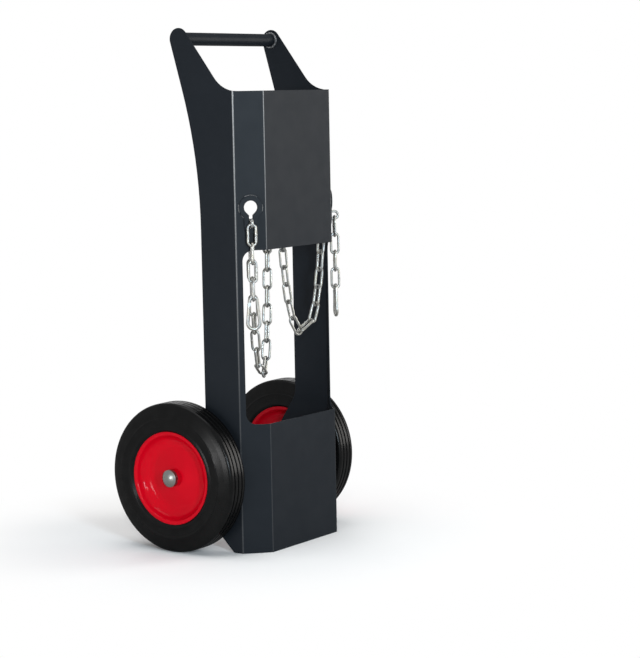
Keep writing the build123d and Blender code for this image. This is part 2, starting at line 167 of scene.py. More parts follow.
# Tyre sidewall, from the rim's lip out: inset from the side face, height over the lip, corner radius
SIDEWALL = (
    (0.0008, 0.0042, 0.0012),
    (0.0, 0.0080, 0.0020),
    (0.0012, 0.0130, 0.0040),
    (0.0008, 0.0270, 0.0080),
    (0.0, 0.0315, 0.0008),
    (0.0016, 0.0334, 0.0008),
    (0.0050, 0.0500, 0.0400),
)
SHOULDER_INSET = 0.0098
SHOULDER_DROP = 0.0002
SHOULDER_RADIUS = 0.0090
GROOVE_PITCH = 0.013
GROOVE_WIDTH = 0.004
GROOVE_DEPTH = 0.0035
GROOVE_FLOOR_SHARE = 0.55
GROOVE_EDGE_RADIUS = 0.0008
GROOVE_FLOOR_RADIUS = 0.0006
TYRE_ARC_STEPS = 6

# Pressed wheel centres
RIM_SHEET = 0.0025
RIM_INSET = 0.005
WALL_RADIUS = 0.101
DISH_RADIUS = 0.088
DISH_FILLET = 0.030
CONE_HEIGHT = 0.012
LIP_RADIUS = 0.005
LIP_EDGE_RADIUS = 0.0009
CENTRE_ARC_STEPS = 10
LIP_ARC_STEPS = 4
LEAST_MITRE = 0.4

# Chain links: the bend of the wire as a share of the link's width, and the butt weld
LINK_BEND_SHARE = 0.4999
LINK_BEND_STEPS = 10
WIRE_SIDES = 16
LINK_WELD_SEGMENTS = 16
LINK_WELD_RINGS = 10
LINK_WELD_STRETCH = (1.5, 1.0, 1.0)

# Studio
WHITE = (1, 1, 1, 1)
FLOOR_GREY = (0.89, 0.89, 0.89, 1)
FLOOR_REACH = 12.0
FLOOR_FADE = (0.30, 0.80)
SKY_FULL_HEIGHT = 0.8
SKY_LOW = 0.3
SKY_HIGH = 1.5
CLIP_END = 100

# Lamps: name, place, point aimed at, size, watts and colour
NEUTRAL = (1.0, 1.0, 1.0)
COOL = (0.74, 0.89, 1.0)
WARM = (1.0, 0.97, 0.93)
LAMPS = (
    ("Front lamp", (2.7, -2.6, 1.3), (0.0, -0.1, 0.6), (1.6, 2.2), 104, WARM),
    ("Strip lamp", (-2.4, -3.3, 1.2), (0.0, -0.1, 0.9), (0.5, 1.0), 104, COOL),
    ("Key lamp", (-3.7, -2.6, 1.6), (-0.2, 0.0, 0.3), (0.18, 0.5), 28, NEUTRAL),
    ("Edge lamp", (-4.0, 0.3, 0.38), (0.0, 0.0, 0.35), (1.4, 0.7), 54, NEUTRAL),
    ("Back lamp", (2.9, 2.5, 1.4), (0.0, 0.0, 0.5), (2.0, 1.2), 34, NEUTRAL),
    ("Top lamp", (-0.3, 0.2, 3.6), (0.0, 0.0, 0.5), (2.4, 2.4), 58, NEUTRAL),
)


def node_size(node):
    """Extent of a solid at rest."""
    low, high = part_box(node)
    return high - low


def node_middle(node):
    """Middle of a solid's box at rest."""
    low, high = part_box(node)
    return (low + high) / 2


TYRE_SIZE = node_size("tyre_left")
RIM_SIZE = node_size("outer_rim_left")
HUB_SIZE = node_size("hub_tube_left")


class HANDTRUCK_PG_finish(bpy.types.PropertyGroup):
    """Colours of the truck's finishes."""

    powder_coat: FloatVectorProperty(
        name="Powder coat", description="Anthracite powder coat of the folded body",
        default=(0.0101, 0.0122, 0.0152), size=3, min=0, max=1, subtype="COLOR")
    # Pale colour of the painted highlight along the bends and of the painted glints on the weld beads
    painted_highlight: FloatVectorProperty(
        name="Painted highlight", description="Painted highlight along the outside of the bends and on the weld beads",
        default=(0.60, 0.59, 0.58), size=3, min=0, max=1, subtype="COLOR")
    centre_paint: FloatVectorProperty(
        name="Wheel centre paint", description="Gloss paint of the pressed wheel centres",
        default=(0.455, 0.0012, 0.009), size=3, min=0, max=1, subtype="COLOR")
    rubber: FloatVectorProperty(
        name="Tyre rubber", description="Solid rubber of the tyres",
        default=(0.0024, 0.0024, 0.0024), size=3, min=0, max=1, subtype="COLOR")
    zinc: FloatVectorProperty(
        name="Zinc plate", description="Bright zinc plating of the chains, hooks and axle",
        default=(0.28, 0.28, 0.27), size=3, min=0, max=1, subtype="COLOR")
    cap_metal: FloatVectorProperty(
        name="Cap metal", description="Plated steel of the axle caps",
        default=(0.19, 0.195, 0.19), size=3, min=0, max=1, subtype="COLOR")
    bush_plastic: FloatVectorProperty(
        name="Bush plastic", description="Moulded plastic of the hub bushes",
        default=(0.02, 0.02, 0.022), size=3, min=0, max=1, subtype="COLOR")


class HANDTRUCK_PG_sizes(bpy.types.PropertyGroup):
    """Sizes of the details that dress the solids."""

    edge_round: FloatProperty(
        name="Edge round", description="Rounding of the sheet's cut edges",
        default=0.0006, min=0, unit="LENGTH")
    bead_radius: FloatProperty(
        name="Bead radius", description="Half the width of one ripple of a weld bead",
        default=0.0030, min=0, unit="LENGTH")
    bead_pitch: FloatProperty(
        name="Bead pitch", description="Distance from one ripple of a weld bead to the next",
        default=0.0024, min=0, unit="LENGTH")
    wire_radius: FloatProperty(
        name="Chain wire radius", description="Half the thickness of the chain wire",
        default=0.003, min=0, unit="LENGTH")
    link_length: FloatProperty(
        name="Chain link length", description="Length of a link between the middles of its ends",
        default=0.048, min=0, unit="LENGTH")
    link_width: FloatProperty(
        name="Chain link width", description="Width of a link between the middles of its legs",
        default=0.018, min=0, unit="LENGTH")
    link_weld: FloatProperty(
        name="Link weld radius", description="Half the thickness of the butt weld on a link's leg",
        default=0.0034, min=0, unit="LENGTH")
    turn_steps: IntProperty(
        name="Turning steps", description="Steps round a turned piece",
        default=160, min=16, max=400)


class HANDTRUCK_PG_stage(bpy.types.PropertyGroup):
    """Camera and light of the studio."""

    focal_pixels: FloatProperty(
        name="Focal length in pixels", description="Focal length for the picture's height",
        default=2090.94, min=1)
    azimuth: FloatProperty(
        name="Azimuth", description="Camera's bearing from the left side towards the front",
        default=radians(34.90), subtype="ANGLE")
    elevation: FloatProperty(
        name="Elevation", description="Camera's height angle over the target",
        default=radians(6.47), subtype="ANGLE")
    roll: FloatProperty(
        name="Roll", description="Camera's turn about its own axis",
        default=radians(-1.10), subtype="ANGLE")
    distance: FloatProperty(
        name="Distance", description="Camera's distance from the target",
        default=5.13102, min=0.1, unit="LENGTH")
    target: FloatVectorProperty(
        name="Target", description="Point that the camera looks at",
        default=(0.21817, -0.089, 0.47938), size=3, subtype="XYZ")
    sky: FloatProperty(
        name="Sky", description="Strength of the even light from all round",
        default=0.28, min=0)


def new_mesh_object(name, mesh):
    """Link a mesh as a new object at the origin."""
    piece = bpy.data.objects.new(name, mesh)
    bpy.context.scene.collection.objects.link(piece)
    return piece


def dress(piece, body, slot, *nodes):
    """Tie a finished piece to its body, and let it stand for its solids."""
    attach(piece, body)
    if nodes:
        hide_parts(*nodes)


def paint_node(node, material):
    """Give a solid that stays as it is its material."""
    slots = frame["nodes"][node].data.materials
    slots.clear()
    slots.append(material)


def body_of_node(node):
    """Name of the body that a solid belongs to."""
    return frame["nodes"][node]["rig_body"]


def link_sockets(tree, *pairs):
    """Join pairs of sockets of a node tree."""
    for source, target in pairs:
        tree.links.new(source, target)


def maths(tree, operation, first, second=None):
    """Math node on sockets or numbers; gives its output socket."""
    node = tree.nodes.new("ShaderNodeMath")
    node.operation = operation
    for index, value in enumerate((first, second)):
        if value is None:
            continue
        if isinstance(value, (int, float)):
            node.inputs[index].default_value = value
        else:
            tree.links.new(value, node.inputs[index])
    return node.outputs[0]


def spread(tree, value, taken=(0.0, 1.0), given=(0.0, 1.0), interpolation="LINEAR"):
    """Map Range node from the values taken to the values given; gives its output socket."""
    node = tree.nodes.new("ShaderNodeMapRange")
    node.interpolation_type = interpolation
    for entry, number in zip(("From Min", "From Max", "To Min", "To Max"), (*taken, *given)):
        node.inputs[entry].default_value = number
    tree.links.new(value, node.inputs["Value"])
    return node.outputs["Result"]


def new_tree(name, kind, inputs, outputs):
    """Empty node group with its named sockets; gives the tree, its input and its output nodes."""
    tree = bpy.data.node_groups.new(name, kind)
    for in_out, sockets in (("INPUT", inputs), ("OUTPUT", outputs)):
        for label, socket in sockets.items():
            tree.interface.new_socket(label, in_out=in_out, socket_type="NodeSocket" + socket)
    return tree, tree.nodes.new("NodeGroupInput"), tree.nodes.new("NodeGroupOutput")


def grain_group():
    """Fine unevenness of a surface: a height for a bump, and a mask of larger patches."""
    found = bpy.data.node_groups.get("Fine grain")
    if found:
        return found
    tree, entry, result = new_tree(
        "Fine grain", "ShaderNodeTree",
        {"Vector": "Vector", "Scale": "Float", "Detail": "Float"},
        {"Height": "Float", "Mask": "Float"},
    )
    noise = tree.nodes.new("ShaderNodeTexNoise")
    patches = tree.nodes.new("ShaderNodeTexNoise")
    patches.inputs["Detail"].default_value = GRAIN_PATCH_DETAIL
    link_sockets(
        tree,
        (entry.outputs["Vector"], noise.inputs["Vector"]),
        (entry.outputs["Scale"], noise.inputs["Scale"]),
        (entry.outputs["Detail"], noise.inputs["Detail"]),
        (noise.outputs["Fac"], result.inputs["Height"]),
        (entry.outputs["Vector"], patches.inputs["Vector"]),
        (maths(tree, "DIVIDE", entry.outputs["Scale"], GRAIN_PATCH_RATIO), patches.inputs["Scale"]),
        (spread(tree, patches.outputs["Fac"], GRAIN_PATCH_SPREAD), result.inputs["Mask"]),
    )
    return tree


def tint_group():
    """Soft patches of a second colour over a first one."""
    found = bpy.data.node_groups.get("Patchy tint")
    if found:
        return found
    tree, entry, result = new_tree(
        "Patchy tint", "ShaderNodeTree",
        {"Vector": "Vector", "First": "Color", "Second": "Color", "Scale": "Float", "Amount": "Float"},
        {"Color": "Color"},
    )
    noise = tree.nodes.new("ShaderNodeTexNoise")
    noise.inputs["Detail"].default_value = TINT_DETAIL
    mix = tree.nodes.new("ShaderNodeMix")
    mix.data_type = "RGBA"
    patches = spread(tree, noise.outputs["Fac"], TINT_SPREAD)
    link_sockets(
        tree,
        (entry.outputs["Vector"], noise.inputs["Vector"]),
        (entry.outputs["Scale"], noise.inputs["Scale"]),
        (maths(tree, "MULTIPLY", patches, entry.outputs["Amount"]), mix.inputs[MIX_FACTOR]),
        (entry.outputs["First"], mix.inputs[MIX_FIRST]),
        (entry.outputs["Second"], mix.inputs[MIX_SECOND]),
        (mix.outputs[MIX_RESULT], result.inputs["Color"]),
    )
    return tree


def shade(colour, factor):
    """Colour made lighter or darker, with full opacity."""
    return (*(min(1.0, channel * factor) for channel in colour), 1.0)


class Finish:
    """Material under construction: its tree, its shader and its Object coordinates."""

    def __init__(self, name):
        self.material = bpy.data.materials.new(name)
        self.material.use_nodes = True
        self.tree = self.material.node_tree
        self.shader = self.tree.nodes["Principled BSDF"]
        self.place = self.tree.nodes.new("ShaderNodeTexCoord").outputs["Object"]

    def group(self, group, **values):
        """Place a shared group, fed with the Object coordinates and its own values."""
        node = self.tree.nodes.new("ShaderNodeGroup")
        node.node_tree = group
        self.tree.links.new(self.place, node.inputs["Vector"])
        for name, value in values.items():
            node.inputs[name].default_value = value
        return node

    def patches(self, first, second, scale, amount):
        """Patches of a second colour on a first one; gives its socket."""
        node = self.group(tint_group(), First=first, Second=second, Scale=scale, Amount=amount)
        return node.outputs["Color"]

    def shades(self, colour, tint):
        """Patches of two shades of a colour; gives its socket."""
        return self.patches(shade(colour, tint.dark), shade(colour, tint.light), tint.scale, tint.amount)

    def grain(self, grain):
        """Fine bump on the shader's normal; gives the mask of larger patches."""
        node = self.group(grain_group(), Scale=grain.scale, Detail=grain.detail)
        bump = self.tree.nodes.new("ShaderNodeBump")
        bump.inputs["Strength"].default_value = grain.strength
        bump.inputs["Distance"].default_value = grain.height
        self.tree.links.new(node.outputs["Height"], bump.inputs["Height"])
        self.feed("Normal", bump.outputs["Normal"])
        return node.outputs["Mask"]

    def ranged(self, value, low, high):
        """Value from 0 to 1 spread from low to high; gives its socket."""
        return spread(self.tree, value, given=(low, high))

    def blend(self, mask, base, colour):
        """Base socket turned to one colour where the mask says so; gives its socket."""
        node = self.tree.nodes.new("ShaderNodeMix")
        node.data_type = "RGBA"
        node.inputs[MIX_SECOND].default_value = colour
        self.tree.links.new(mask, node.inputs[MIX_FACTOR])
        self.tree.links.new(base, node.inputs[MIX_FIRST])
        return node.outputs[MIX_RESULT]

    def feed(self, entry, socket):
        """Join a socket to one of the shader's inputs."""
        self.tree.links.new(socket, self.shader.inputs[entry])

    def plain(self, **values):
        """Values that are the same all over the surface, set on the shader's own sockets."""
        for name, value in values.items():
            self.shader.inputs[name.replace("_", " ")].default_value = value


def bend_highlight_mask(finish):
    """Mask of the painted highlight along the outside of the body's four bends, broken by noise, weaker
    lower down.
    """
    low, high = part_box("folded_body")
    corners = (
        (high.x, low.y + BEND_DEPTH, 0),
        (high.x - BEND_RUN, low.y, BEND_NARROWING),
    )
    tree = finish.tree
    split = tree.nodes.new("ShaderNodeSeparateXYZ")
    tree.links.new(finish.place, split.inputs[0])
    across = maths(tree, "ABSOLUTE", split.outputs["X"])
    reaches = []
    for x, y, narrowing in corners:
        run = maths(tree, "POWER", maths(tree, "SUBTRACT", across, x), 2)
        rise = maths(tree, "POWER", maths(tree, "SUBTRACT", split.outputs["Y"], y), 2)
        distance = maths(tree, "SQRT", maths(tree, "ADD", run, rise))
        reaches.append(maths(tree, "ADD", distance, narrowing))
    nearest = maths(tree, "MINIMUM", *reaches)
    line = spread(tree, nearest, (BEND_HIGHLIGHT_OUTER, BEND_HIGHLIGHT_INNER), interpolation="SMOOTHSTEP")
    speckle = finish.group(grain_group(), Scale=BEND_SPECKLE_SCALE, Detail=HIGHLIGHT_DETAIL)
    broken = finish.ranged(speckle.outputs["Height"], BEND_SPECKLE_LEAST, 1.0)
    painted_line = maths(tree, "MULTIPLY", line, broken)
    # The painted highlight is strongest at the top of the bends and weaker further down, where less light
    # falls
    height = spread(tree, split.outputs["Z"], (0.0, high.z))
    height_fade = maths(tree, "MAXIMUM", maths(tree, "POWER", height, 2), BEND_HIGHLIGHT_LEAST)
    return maths(tree, "MULTIPLY", painted_line, height_fade)


def powder_coat(name, with_bend_highlights=False, painted_glints=0.0, roughness=COAT_ROUGHNESS, gloss=COAT_GLOSS):
    """Satin powder coat with its orange peel; painted highlights on the bends, painted glints in small
    patches.
    """
    colours = bpy.context.scene.handtruck_finish
    finish = Finish(name)
    base = finish.shades(colours.powder_coat, COAT_TINT)
    mask = finish.grain(COAT_GRAIN)
    # Painted highlight: a pale colour that stands in for the light caught on the bends and the weld beads
    highlight_colour = shade(colours.painted_highlight, 1.0)
    if with_bend_highlights:
        base = finish.blend(bend_highlight_mask(finish), base, highlight_colour)
    # Painted glints: small pale patches of the highlight colour in place of the beads' own highlights
    if painted_glints:
        patches = finish.group(grain_group(), Scale=BEAD_GLINT_SCALE, Detail=HIGHLIGHT_DETAIL)
        base = finish.blend(finish.ranged(patches.outputs["Mask"], 0.0, painted_glints), base, highlight_colour)
    finish.feed("Base Color", base)
    finish.feed("Coat Weight", finish.ranged(mask, *(gloss * share for share in COAT_GLOSS_SPREAD)))
    finish.plain(IOR=LACQUER_IOR, Roughness=roughness, Specular_IOR_Level=0.0, Coat_Roughness=roughness)
    return finish.material


def gloss_paint():
    """Thick gloss paint of the wheel centres."""
    finish = Finish("Red gloss paint")
    finish.feed("Base Color", finish.shades(bpy.context.scene.handtruck_finish.centre_paint, PAINT_TINT))
    finish.feed("Roughness", finish.ranged(finish.grain(PAINT_GRAIN), *PAINT_ROUGHNESS))
    finish.plain(IOR=LACQUER_IOR, Specular_IOR_Level=0.0)
    finish.plain(Coat_Weight=PAINT_GLOSS, Coat_Roughness=PAINT_GLOSS_ROUGHNESS)
    return finish.material


def tyre_rubber():
    """Satin moulded rubber, a little paler where dust has settled."""
    finish = Finish("Tyre rubber")
    finish.feed("Base Color", finish.shades(bpy.context.scene.handtruck_finish.rubber, RUBBER_TINT))
    finish.feed("Coat Weight", finish.ranged(finish.grain(RUBBER_GRAIN), *RUBBER_GLOSS))
    finish.plain(IOR=LACQUER_IOR, Roughness=RUBBER_ROUGHNESS, Specular_IOR_Level=0.0)
    finish.plain(Coat_Roughness=RUBBER_GLOSS_ROUGHNESS)
    return finish.material


def plated_metal(name, colour, roughness):
    """Plated steel with a faint warm and cold passivation."""
    finish = Finish(name)
    warm, cold = (
        (*(channel * share for channel, share in zip(colour, cast)), 1.0)
        for cast in (PLATING_WARM, PLATING_COLD)
    )
    finish.feed("Base Color", finish.patches(warm, cold, PLATING_SCALE, PLATING_AMOUNT))
    finish.feed("Roughness", finish.ranged(finish.grain(PLATING_GRAIN), *roughness))
    finish.plain(Metallic=1.0)
    return finish.material


def moulded_plastic():
    """Dark plastic of the bushes."""
    finish = Finish("Bush plastic")
    finish.feed("Base Color", finish.shades(bpy.context.scene.handtruck_finish.bush_plastic, PLASTIC_TINT))
    finish.feed("Roughness", finish.ranged(finish.grain(PLASTIC_GRAIN), *PLASTIC_ROUGHNESS))
    return finish.material


def coat():
    """Powder coat of the pieces round the folded body, made once."""
    name = "Anthracite coat"
    return bpy.data.materials.get(name) or powder_coat(name)


def zinc():
    """Plating of the chains and the other bright steel, made once."""
    name = "Zinc plate"
    colour = bpy.context.scene.handtruck_finish.zinc
    return bpy.data.materials.get(name) or plated_metal(name, colour, ZINC_ROUGHNESS)


def merged_copy(node):
    """Mesh of a solid with its loose triangles joined and its flat faces made whole."""
    bm = bmesh.new()
    bm.from_mesh(frame["nodes"][node].data)
    bmesh.ops.remove_doubles(bm, verts=bm.verts, dist=MERGE_DISTANCE)
    bmesh.ops.dissolve_limit(bm, angle_limit=FLAT_ANGLE, verts=bm.verts, edges=bm.edges)
    mesh = bpy.data.meshes.new(node + "_sheet")
    bm.to_mesh(mesh)
    bm.free()
    return mesh


def rounded_piece(name, node, material, width):
    """Copy of a solid whose sharp edges are rounded, in the solid's place."""
    mesh = merged_copy(node)
    mesh.materials.clear()
    mesh.materials.append(material)
    mesh.shade_smooth()
    piece = new_mesh_object(name, mesh)
    bevel = piece.modifiers.new("Edge round", "BEVEL")
    bevel.width = width
    bevel.segments = EDGE_SEGMENTS
    bevel.limit_method = "ANGLE"
    bevel.angle_limit = EDGE_ANGLE
    weight = piece.modifiers.new("Flat faces", "WEIGHTED_NORMAL")
    weight.keep_sharp = True
    weight.weight = FACE_WEIGHT
    return piece


class HANDTRUCK_OT_body(bpy.types.Operator):
    """Coat the folded body, the handle, the brace and the plates, with rounded sheet edges"""

    bl_idname = "handtruck.body"
    bl_label = "Folded body and tubes"

    def execute(self, context):
        edge_round = context.scene.handtruck_sizes.edge_round
        # The sheet coat carries the painted highlight along the bends
        sheet_coat = powder_coat("Sheet coat", with_bend_highlights=True)
        body = rounded_piece("folded_sheet", "folded_body", sheet_coat, edge_round)
        dress(body, "frame", "frame_paint", "folded_body")
        for side in SIDES:
            plate = rounded_piece(f"keyhole_rim_{side}", f"keyhole_plate_{side}", coat(), edge_round)
            dress(plate, "frame", "frame_paint", f"keyhole_plate_{side}")
            paint_node(f"axle_collar_{side}", coat())
        for node in COATED_NODES:
            paint_node(node, coat())
        return {"FINISHED"}


def grown(name, mesh, tree, values):
    """Object whose mesh is what a geometry tree makes of a starting mesh, as a plain mesh."""
    piece = new_mesh_object(name, mesh)
    modifier = piece.modifiers.new("Grown", "NODES")
    modifier.node_group = tree
    sockets = {item.name: item.identifier for item in tree.interface.items_tree if item.in_out == "INPUT"}
    for label, value in values.items():
        modifier[sockets[label]] = value
    bpy.context.view_layer.update()
    graph = bpy.context.evaluated_depsgraph_get()
    result = bpy.data.meshes.new_from_object(piece.evaluated_get(graph))
    piece.modifiers.clear()
    piece.data = result
    result.name = name
    return piece


def put_out(tree, entry, place, result):
    """End of a geometry tree: what is set on the points made real, shaded smooth and given its material."""
    realize = tree.nodes.new("GeometryNodeRealizeInstances")
    rounded = tree.nodes.new("GeometryNodeSetShadeSmooth")
    paint = tree.nodes.new("GeometryNodeSetMaterial")
    link_sockets(
        tree,
        (place.outputs["Instances"], realize.inputs["Geometry"]),
        (realize.outputs["Geometry"], rounded.inputs["Geometry"]),
        (rounded.outputs["Geometry"], paint.inputs["Geometry"]),
        (entry.outputs["Material"], paint.inputs["Material"]),
        (paint.outputs["Geometry"], result.inputs["Geometry"]),
    )


def bead_tree():
    """Weld bead: ripples set along the edges of the starting mesh."""
    found = bpy.data.node_groups.get("Weld bead")
    if found:
        return found
    tree, entry, result = new_tree(
        "Weld bead", "GeometryNodeTree",
        {"Geometry": "Geometry", "Radius": "Float", "Pitch": "Float", "Material": "Material"},
        {"Geometry": "Geometry"},
    )
    new = tree.nodes.new
    path = new("GeometryNodeMeshToCurve")
    points = new("GeometryNodeCurveToPoints")
    points.mode = "LENGTH"
    ripple = new("GeometryNodeMeshUVSphere")
    ripple.inputs["Segments"].default_value = RIPPLE_SEGMENTS
    ripple.inputs["Rings"].default_value = RIPPLE_RINGS
    jitter = new("FunctionNodeRandomValue")
    jitter.data_type = "FLOAT_VECTOR"
    jitter.inputs[0].default_value = RIPPLE_LEAST
    jitter.inputs[1].default_value = RIPPLE_MOST
    jitter.inputs["Seed"].default_value = RIPPLE_SEED
    place = new("GeometryNodeInstanceOnPoints")
    link_sockets(
        tree,
        (entry.outputs["Geometry"], path.inputs["Mesh"]),
        (path.outputs["Curve"], points.inputs["Curve"]),
        (entry.outputs["Pitch"], points.inputs["Length"]),
        (entry.outputs["Radius"], ripple.inputs["Radius"]),
        (points.outputs["Points"], place.inputs["Points"]),
        (points.outputs["Rotation"], place.inputs["Rotation"]),
        (jitter.outputs[0], place.inputs["Scale"]),
        (ripple.outputs["Mesh"], place.inputs["Instance"]),
    )
    put_out(tree, entry, place, result)
    return tree


def path_mesh(name, runs):
    """Mesh of open or closed runs of points, each (points, closed)."""
    points, edges = [], []
    for run, closed in runs:
        first = len(points)
        points.extend(run)
        edges.extend((first + index, first + index + 1) for index in range(len(run) - 1))
        if closed:
            edges.append((first + len(run) - 1, first))
    mesh = bpy.data.meshes.new(name)
    mesh.from_pydata(points, edges, [])
    return mesh


def ring_run(x, centre, radius):
    """Points of a ring about an axis along X."""
    angles = [2 * pi * step / RING_STEPS for step in range(RING_STEPS)]
    return [(x, centre.y + radius * cos(a), centre.z + radius * sin(a)) for a in angles]


def stitch_run(side, first, last):
    """Points of a stitch along a keyhole plate's edge, between two angles on the strip's outer face."""
    plate = f"keyhole_plate_{side}"
    slant = Vector((SIDES[side], -1, 0)).normalized()
    along = Vector((0, 0, 1)).cross(slant)
    radius = (node_size(plate).x / abs(slant.x) - KEYHOLE_PLATE_THICKNESS) / 2
    centre = node_middle(plate) - slant * KEYHOLE_PLATE_THICKNESS / 2
    centre.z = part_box(plate)[1].z - radius
    angles = [radians(first + (last - first) * step / STITCH_STEPS) for step in range(STITCH_STEPS + 1)]
    return [centre + along * radius * cos(a) + Vector((0, 0, radius * sin(a))) for a in angles]


class HANDTRUCK_OT_welds(bpy.types.Operator):
    """Lay rippled weld beads at the ends of the tubes and stitches round the keyhole plates"""

    bl_idname = "handtruck.welds"
    bl_label = "Weld beads"

    def execute(self, context):
        sizes = context.scene.handtruck_sizes
        bead = sizes.bead_radius
        # The weld coat carries painted glints in small pale patches
        weld_coat = powder_coat("Weld coat", painted_glints=BEAD_GLINT, roughness=BEAD_ROUGHNESS, gloss=BEAD_GLOSS)
        values = {"Radius": bead, "Pitch": sizes.bead_pitch, "Material": weld_coat}
        for name, tube in TUBES.items():
            low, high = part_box(tube)
            centre = (low + high) / 2
            radius = (high.z - low.z) / 2 + bead * BEAD_OUT
            ends = (low.x + bead * BEAD_IN, high.x - bead * BEAD_IN)
            runs = [(ring_run(x, centre, radius), True) for x in ends]
            beads = grown(f"{name}_weld_beads", path_mesh(name, runs), bead_tree(), values)
            dress(beads, "frame", "frame_paint", f"{name}_welds")
        values["Radius"] = bead * STITCH_SHARE
        for side in SIDES:
            runs = [(stitch_run(side, *span), False) for span in STITCHES]
            stitches = grown(f"plate_stitches_{side}", path_mesh(side, runs), bead_tree(), values)
            dress(stitches, "frame", "frame_paint")
        return {"FINISHED"}


def rounded_profile(corners, steps):
    """Points of a profile with an arc at each corner, from (distance along the axle, radius, arc) rows."""
    points = [Vector((x, r)) for x, r, _ in corners]
    result = []
    for index, (x, r, radius) in enumerate(corners):
        if radius == 0:
            result.append((x, r))
            continue
        here = points[index]
        before = (points[index - 1] - here).normalized()
        after = (points[(index + 1) % len(points)] - here).normalized()
        half = before.angle(after) / 2
        reach = radius / tan(half)
        centre = here + (before + after).normalized() * radius / sin(half)
        start = here + before * reach - centre
        sweep = start.angle_signed(here + after * reach - centre)
        for step in range(steps + 1):
            point = centre + Matrix.Rotation(-sweep * step / steps, 2) @ start
            result.append((point.x, point.y))
    return result


def sheet_profile(path, thickness):
    """Closed profile of a sheet that lies along an open path, on its left."""
    points = [Vector(p) for p in path]
    back = []
    for index, point in enumerate(points):
        normals = []
        for first, second in ((index - 1, index), (index, index + 1)):
            if 0 <= first and second < len(points):
                run = (points[second] - points[first]).normalized()
                normals.append(Vector((-run.y, run.x)))
        middle = sum(normals, Vector((0, 0))).normalized()
        back.append(point + middle * thickness / max(LEAST_MITRE, middle.dot(normals[0])))
    return [tuple(p) for p in points] + [tuple(p) for p in reversed(back)]


def turned_piece(name, profile, centre, side, steps, material):
    """Closed body turned about the axle from a closed profile, mirrored where side is -1."""
    bm = bmesh.new()
    rings = []
    for step in range(steps):
        angle = 2 * pi * step / steps
        ring = [bm.verts.new((centre.x + side * x, centre.y + r * cos(angle), centre.z + r * sin(angle)))
                for x, r in profile]
        rings.append(ring)
    for step in range(steps):
        here, there = rings[step], rings[(step + 1) % steps]
        for index in range(len(profile)):
            following = (index + 1) % len(profile)
            bm.faces.new((here[index], here[following], there[following], there[index]))
    bmesh.ops.recalc_face_normals(bm, faces=bm.faces)
    mesh = bpy.data.meshes.new(name)
    bm.to_mesh(mesh)
    bm.free()
    mesh.shade_smooth()
    mesh.set_sharp_from_angle(angle=TURNED_ANGLE)
    mesh.materials.append(material)
    return new_mesh_object(name, mesh)


def tyre_profile():
    """Closed tyre section: ridged sidewalls, a grooved tread and a bore that lies on the rims."""
    half = TYRE_SIZE.x / 2
    outer = TYRE_SIZE.z / 2
    lip = RIM_SIZE.z / 2
    wall = [(half - RIM_INSET, lip, 0)]
    wall += [(half - inset, lip + height, arc) for inset, height, arc in SIDEWALL]
    wall.append((half - SHOULDER_INSET, outer - SHOULDER_DROP, SHOULDER_RADIUS))
    groove_edge = GROOVE_WIDTH / 2
    groove_floor = groove_edge * GROOVE_FLOOR_SHARE
    groove = [
        (groove_edge, outer, GROOVE_EDGE_RADIUS),
        (groove_floor, outer - GROOVE_DEPTH, GROOVE_FLOOR_RADIUS),
        (-groove_floor, outer - GROOVE_DEPTH, GROOVE_FLOOR_RADIUS),
        (-groove_edge, outer, GROOVE_EDGE_RADIUS),
    ]
    right = wall + [(GROOVE_PITCH + x, r, arc) for x, r, arc in groove]
    left = [(-x, r, arc) for x, r, arc in reversed(right)]
    bead_half = half - RIM_INSET - RIM_SHEET
    slope = (WALL_RADIUS - DISH_RADIUS) / bead_half
    middle = DISH_RADIUS - slope * RIM_SHEET + RIM_SHEET * sqrt(1 + slope**2)
    edge = middle + slope * bead_half
    bore = [
        (-bead_half, lip, 0),
        (-bead_half, edge, RIM_SHEET),
        (0, middle, 0),
        (bead_half, edge, RIM_SHEET),
        (bead_half, lip, 0),
    ]
    return rounded_profile(right + groove + left + bore, TYRE_ARC_STEPS)


def centre_profile():
    """Sheet section of one pressed half of a wheel centre, from the hub out to the rolled lip."""
    lip = RIM_SIZE.z / 2
    lip_x = TYRE_SIZE.x / 2 - RIM_INSET
    path = [
        (RIM_SHEET + CONE_HEIGHT, HUB_SIZE.z / 2, 0),
        (RIM_SHEET + CONE_HEIGHT, HUB_SIZE.z / 2 + RIM_SHEET, RIM_SHEET),
        (RIM_SHEET, DISH_RADIUS, DISH_FILLET),
        (lip_x, WALL_RADIUS, LIP_RADIUS),
        (lip_x, lip, 0),
    ]
    line = rounded_profile(path, CENTRE_ARC_STEPS)
    sheet = sheet_profile(line, RIM_SHEET)
    arcs = [0] * len(sheet)
    arcs[len(line) - 1] = LIP_EDGE_RADIUS
    arcs[len(line)] = LIP_EDGE_RADIUS
    return rounded_profile([(x, r, arc) for (x, r), arc in zip(sheet, arcs)], LIP_ARC_STEPS)


class HANDTRUCK_OT_wheels(bpy.types.Operator):
    """Turn the tyres and the pressed centres, and finish the hubs, washers, axle and caps"""

    bl_idname = "handtruck.wheels"
    bl_label = "Wheels and axle"

    def execute(self, context):
        steps = context.scene.handtruck_sizes.turn_steps
        rubber = tyre_rubber()
        paint = gloss_paint()
        plastic = moulded_plastic()
        cap = plated_metal("Cap plate", context.scene.handtruck_finish.cap_metal, CAP_ROUGHNESS)
        for name, side in SIDES.items():
            centre = node_middle(f"tyre_{name}")
            body = f"wheel_{name}"
            tyre = turned_piece(f"ribbed_tyre_{name}", tyre_profile(), centre, side, steps, rubber)
            dress(tyre, body, "tyre_rubber", f"tyre_{name}")
            for half, face in (("outer", side), ("inner", -side)):
                label = f"pressed_centre_{half}_{name}"
                pressed = turned_piece(label, centre_profile(), centre, face, steps, paint)
                dress(pressed, body, "rim_paint", f"{half}_rim_{name}")
                paint_node(f"{half}_washer_{name}", zinc())
            paint_node(f"hub_tube_{name}", paint)
            paint_node(f"hub_bushes_{name}", plastic)
            paint_node(f"axle_cap_{name}", cap)
        paint_node("axle", zinc())
        return {"FINISHED"}


